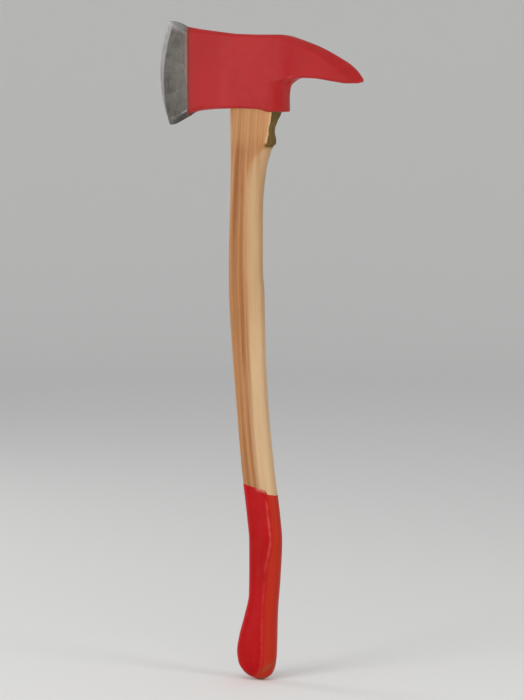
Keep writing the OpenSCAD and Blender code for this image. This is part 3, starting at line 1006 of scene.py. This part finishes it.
def wedge_steel_material():
    """Hammered and slightly rusty tops of the steel wedges."""
    g = Graph("hammered_wedge_steel")
    place = g.place()
    beat = g.noise(place, 520, 3, 0.5)
    rust = g.noise(place, 240, 4, 0.65)
    tone = g.mix(g.span(beat, 0.35, 0.65), (92, 88, 85), (140, 136, 133))
    tone = g.mix(g.span(rust, 0.55, 0.72, 0, 0.6), tone, (104, 62, 40))
    return g.finish(Base_Color=tone, Metallic=0.85, Normal=g.bump(beat, 0.0005, 0.9),
                    Roughness=g.span(rust, 0.4, 0.7, 0.4, 0.75))


# ---- Build the pieces ----

# The cutting edge in side view: its middle height and half height, its x at the middle,
# how far its ends stand behind that, and how much its top leads
EDGE_MIDDLE, EDGE_HALF, EDGE_X, EDGE_BOW, EDGE_LEAN = 46, 72, -143.6, 12.6, 1.6
PAINT_X = HEAD[PAINT_STATION, 0]
PAINT_FADE = 3.8  # distance over which the head's paint thickens
# the strip along a ridge is wear and a painted highlight together
WORN_WIDTH = 3.0  # of the worn strip along a ridge
WORN_STEPS = 500  # points that the ridges are measured at
BATCH = 4000  # vertices measured at once
UNPAINTED, UNPAINTED_SLOPE = 4.8, 0.42  # height of the bare strip under the heel
# painted shade: how strongly the head's faces turned from the light are darkened
REAR_SHARE = 0.45  # how strongly the head's turned faces darken


def head_fields(piece):
    """Marks the steel's bright grinding, a painted highlight on the heel's ridge and
    painted shade on the bevel below it, where the paint is thin, wears and is gone, and its
    painted highlights and shade.
    """
    p = positions(piece)
    x, y, z = p.T
    lean = (z - EDGE_MIDDLE) / EDGE_HALF
    from_edge = x - (EDGE_X + EDGE_BOW * lean ** 2 + EDGE_LEAN * lean)
    top = np.interp(x, BIT_TABLE[:, 0], BIT_TABLE[:, 1]) - z
    low = z - np.interp(x, BIT_TABLE[:, 2], BIT_TABLE[:, 3])
    ground = 0.7 * fade(from_edge, 8.4, 6) + 0.5 * fade(from_edge, 1.2, 0)
    ground = np.maximum(ground, 0.5 * fade(top, 14, 7) * fade(x, -99, -105))
    # painted shade on the heel's lower bevel, and a painted highlight along the ridge above
    # it
    bevel = fade(low, 8.4, 7.4) * fade(x, -126, -120)
    ridge = hump(low - 8.6, 0.9) * fade(x, -127, -123)
    # paint that thins out over the steel, further up the head than down
    film = 3.2 * fade(z, 36, 66) + 1.2 + 1.4 * hump(z - 44, 12)
    # painted highlight: a glint in the crease between the lug and the pick, from (43, 35)
    # up and back
    along = 0.786 * (x - 43) + 0.618 * (z - 35)
    across = 0.786 * (z - 35) - 0.618 * (x - 43)
    glint = hump(across, 1.6) * fade(along, -3, 1) * fade(along, 21, 17)
    rise = z - np.interp(x, HEEL_TABLE[:, 2], HEEL_TABLE[:, 3])
    # painted shade on faces turned from the light: the pick's top bevels, the lug, and a
    # hollow near the tip
    drop = np.interp(x, HEAD[:, 0], HEAD[:, 1]) - z
    facet = np.interp(x, HEAD[:, 0], HEAD[:, 5])
    rear = ease((facet - drop) / 3 + 0.5) * fade(x, 62, 82)
    rear = rear + fade(z, 34, 28) * fade(x, 30, 38)
    rear = rear + 0.7 * hump(np.hypot(x - 133, z - 52), 6)
    store(piece,
          ground=np.clip(ground * (1 - bevel) + 1.2 * ridge, 0, 1),
          shaded=np.clip(bevel, 0, 1),
          feather=ease((x - (PAINT_X - 0.2 - film)) / 0.7),
          edge=np.maximum(paint_edge(p), 1.6 * glint * (np.abs(y) > 6)),
          bare=ease((UNPAINTED - UNPAINTED_SLOPE * (x - PAINT_X) - rise) / 1.2),
          scuff=np.exp(-((x + 20) / 17) ** 4 - ((z - 38) / 17) ** 4) * (y < 0),
          rear=REAR_SHARE * rear,
          thin=0.85 * np.exp(-np.clip(x - PAINT_X, 0, None) / PAINT_FADE))


def paint_edge(p):
    """Strong along the head's ridges and corners, where paint wears and where highlights
    are painted.
    """
    station = np.linspace(PAINT_STATION, TIP_STATION, WORN_STEPS)
    wear = np.zeros(len(p))
    for start in range(0, len(p), BATCH):
        part = p[start:start + BATCH, [0, 2]]
        for along, up in (HEAD_CURVES[:2], HEAD_CURVES[2:4]):
            square = ((part[:, :1] - along(station)) ** 2
                      + (part[:, 1:] - up(station)) ** 2)
            worn = ease(1 - np.sqrt(square.min(1)) / WORN_WIDTH)
            wear[start:start + BATCH] = np.maximum(wear[start:start + BATCH], worn)
    return wear


def handle_fields(piece):
    """Lays out the grain, the pale sapwood, the painted shade and highlight on the chopped
    shoulder, and painted light on the lower sapwood.
    """
    p = positions(piece)
    x, y, z = p.T
    depth = np.clip(-z, 0, HANDLE_END)
    sap = SAPWOOD(depth) - (BACK(depth) - x) + 0.16 * (np.abs(y) - HANDLE_HALF)
    # painted shade on the chopped face stops short of the near side, and ends in a pit
    # darkened by painted shade
    behind = shoulder_back(y, depth)
    face = 1.6 + 4.5 * ease((12.8 - np.abs(y)) / 1.4)
    stain = ease(x - (behind - face)) * fade(depth, 52, 49.5) * fade(depth, -3, 0)
    pit = hump(np.hypot((x - 21.4) / 3.2, (depth - 48.8) / 2.7), 1) * fade(depth, 42, 46)
    stain = np.clip(np.maximum(stain, 1.1 * pit), 0, 1)
    # painted highlight: a pale strip along the near ridge
    glint = hump(x - NEAR_RIDGE(depth) + 2.3, 1.9) * fade(depth, 47, 43) * (y < 0)
    # heartwood drawn lighter just before the sapwood further down, and near the top
    inner = hump(sap + 7, 4) * fade(depth, 330, 390)
    store(piece,
          grain=np.column_stack([x - MIDLINE(-z), y, -z]) * MM,
          sapwood=np.where(z > 0, -20, sap) * MM,
          stain=np.where(z > 0.5, 0, stain),
          pale=np.where(z > 0, 0, glint),
          end_grain=z > TOP_Z - 0.5,
          fresh=np.maximum(fade(depth, 60, 28), 0.8 * inner),
          # painted light: the sapwood drawn paler down the lower handle
          low=fade(depth, 230, 360))


def grip_fields(piece):
    """Marks the grip paint's rubbed patch and thin top, its painted highlight along the
    crest and the painted light on its back facet.
    """
    p = positions(piece)
    x, y, z = p.T
    depth = np.clip(-z, 0, HANDLE_END)
    back = BACK(depth)
    near = y < 0
    # a slanted patch rubbed through near the foot, and the foot itself
    slanted = back - x - 7 - 0.9 * (depth - 777)
    rub = 0.75 * hump(slanted, 4) * hump(depth - 777, 8) * near
    foot = 0.5 * fade(depth, 788, 794)
    line = paint_depth(x, y)
    thin = 0.8 * fade(depth - line, 6, 0) * fade(x, 2, 11) * fade(x, 21, 18)
    from_crest = x - (back - CREST(depth))
    # painted highlight along the crest on the near side, fading out down the grip
    lit = hump(from_crest + 0.2, 1.7) * fade(depth, 536, 556)
    lit = lit * (0.5 + 0.5 * fade(depth, 640, 600)) * near
    store(piece,
          bare=np.clip(np.maximum(rub, foot), 0, 1),
          edge=1.7 * lit,
          # painted light: the back facet behind the crest is drawn lighter and oranger
          rear=0.85 * fade(from_crest, 0.5, 5.5),
          thin=thin * near,
          scuff=np.zeros(len(p)))


# the head's colour for turned faces is painted shade, and its colour for wear also paints
# the ridge and crease highlights
head_red = enamel_material("head_enamel", main=(171, 28, 31), shade=(164, 25, 28),
                           worn=(178, 66, 62), rear=(150, 20, 10), film=(92, 50, 46),
                           under=(64, 56, 46), gloss=(0.46, 0.56), specular=0.2)
# the grip's colour for wear is its painted crest highlight, and its colour for turned faces
# is painted light
grip_red = enamel_material("grip_enamel", main=(178, 8, 16), shade=(169, 8, 12),
                           worn=(200, 84, 74), rear=(182, 48, 26), film=(200, 138, 116),
                           under=(146, 82, 50), gloss=(0.3, 0.4), specular=0.1)

eye_cutter = fix_normals(make_eye_cutter())

forging = make_forging()
boolean(forging, eye_cutter)
enamel = make_enamel()
boolean(enamel, eye_cutter)

handle = make_handle()
slot_cutter = make_wedge("slot_cutter", slot=True)
pin_cutters = make_pins("pin_cutter", slot=True)
boolean(handle, slot_cutter, *pin_cutters)

wedge = make_wedge("wood_wedge")
boolean(wedge, eye_cutter, operation="INTERSECT")
boolean(wedge, *pin_cutters)
discard(eye_cutter, slot_cutter, *pin_cutters)

pins = join([rounded(pin, PIN_ROUNDING) for pin in make_pins("pin")], "step_wedges")
grip = make_grip()

head_fields(forging)
head_fields(enamel)
handle_fields(handle)
grip_fields(grip)

for piece, node, slot, material in (
        (forging, "head_forging", "bare_steel", steel_material()),
        (enamel, "head_enamel", "head_enamel", head_red),
        (handle, "handle", "hickory", hickory_material()),
        (grip, "grip_enamel", "grip_enamel", grip_red),
        (wedge, "wooden_wedge", "wedge_wood", wedge_wood_material()),
        (pins, "steel_wedges", "wedge_steel", wedge_steel_material())):
    smooth(piece)
    piece.data.materials.clear()
    piece.data.materials.append(material)
    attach(piece, "root")
    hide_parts(node)


# ---- Stage, light and camera ----

STAGE_HOLE, STAGE_MIDDLE = 0.02, 1.5  # metres: radii of the floor's inner rings,
STAGE_FLAT = 5.2  # of the flat floor,
STAGE_BEND = 2.0  # and of the bend at its rim
STAGE_HEIGHT = 2.4  # how high the backdrop stands
STAGE_DROP = 0.0005  # from the axe's foot down to the floor
STAGE_SIDES, STAGE_RINGS = 96, 13


def make_stage():
    """A pale round floor whose rim sweeps up into a backdrop on every side."""
    floor_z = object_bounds()[0][2] - STAGE_DROP
    profile = [(STAGE_HOLE, 0.0), (STAGE_MIDDLE, 0.0)]
    for turn in np.linspace(0, math.pi / 2, STAGE_RINGS):
        profile.append((STAGE_FLAT + STAGE_BEND * math.sin(turn),
                        STAGE_BEND * (1 - math.cos(turn))))
    profile.append((STAGE_FLAT + STAGE_BEND, STAGE_HEIGHT))
    turn = np.linspace(0, 2 * math.pi, STAGE_SIDES + 1)[:-1]
    rings = [np.column_stack([r * np.cos(turn), r * np.sin(turn), 0 * turn + z + floor_z])
             for r, z in profile]
    faces = skin(len(rings), STAGE_SIDES) + [tuple(range(STAGE_SIDES))]
    stage = make_object("sweep", np.concatenate(rings) / MM, faces)
    smooth(stage, 60)
    g = Graph("pale_paper")
    fleck = g.noise(g.place(), 900, 2, 0.5)
    paper = g.mix(fleck, (236, 235, 232), (242, 241, 238))
    stage.data.materials.append(g.finish(Base_Color=paper, Roughness=0.9))
    return stage


def place_at(name, data, azimuth, elevation, distance):
    """Puts a light or camera that far from AIM and points it there.

    azimuth is in degrees from the front, positive towards the pick.
    """
    turn, lift = math.radians(azimuth), math.radians(elevation)
    away = Vector((math.sin(turn) * math.cos(lift), -math.cos(turn) * math.cos(lift),
                   math.sin(lift)))
    item = bpy.data.objects.new(name, data)
    item.location = AIM + away * distance
    item.rotation_euler = away.to_track_quat("Z", "Y").to_euler()
    bpy.context.scene.collection.objects.link(item)
    return item


def area_light(name, azimuth, elevation, distance, size, power_w, colour=(1, 1, 1)):
    """A soft box that the camera doesn't see."""
    lamp = bpy.data.lights.new(name, "AREA")
    lamp.shape = "RECTANGLE"
    lamp.size, lamp.size_y = size
    lamp.energy = power_w
    lamp.color = colour
    place_at(name, lamp, azimuth, elevation, distance).visible_camera = False


# The camera: degrees turned towards the pick and raised, metres away, and the size
# of the frame where the axe stands
VIEW_TURN = 20.0
VIEW_LIFT = 4.17
VIEW_AWAY = 4.0
FRAME_HEIGHT = 0.9744
SENSOR_HEIGHT = 24  # millimetres
AIM = Vector((0.00956, 0.0, -0.3325))


def make_camera():
    data = bpy.data.cameras.new("camera")
    data.sensor_fit = "VERTICAL"
    data.sensor_height = SENSOR_HEIGHT
    data.lens = SENSOR_HEIGHT * VIEW_AWAY / FRAME_HEIGHT
    data.clip_end = 50
    bpy.context.scene.camera = place_at("camera", data, VIEW_TURN, VIEW_LIFT, VIEW_AWAY)


make_camera()
make_stage()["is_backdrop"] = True
area_light("key", -26, 12, 3.8, (1.8, 2.2), 60, (1.0, 0.98, 0.95))
area_light("fill", 72, 12, 3.2, (0.9, 1.4), 26)
area_light("left", -106, 12, 3.2, (0.9, 1.4), 19)
area_light("top", 8, 62, 3.0, (2.0, 1.2), 14)

world = bpy.data.worlds.new("studio")
world.use_nodes = True
sky = world.node_tree.nodes["Background"]
sky.inputs["Color"].default_value = (0.9, 0.92, 0.95, 1)
sky.inputs["Strength"].default_value = 0.5
bpy.context.scene.world = world
bpy.context.scene.view_settings.view_transform = "Standard"
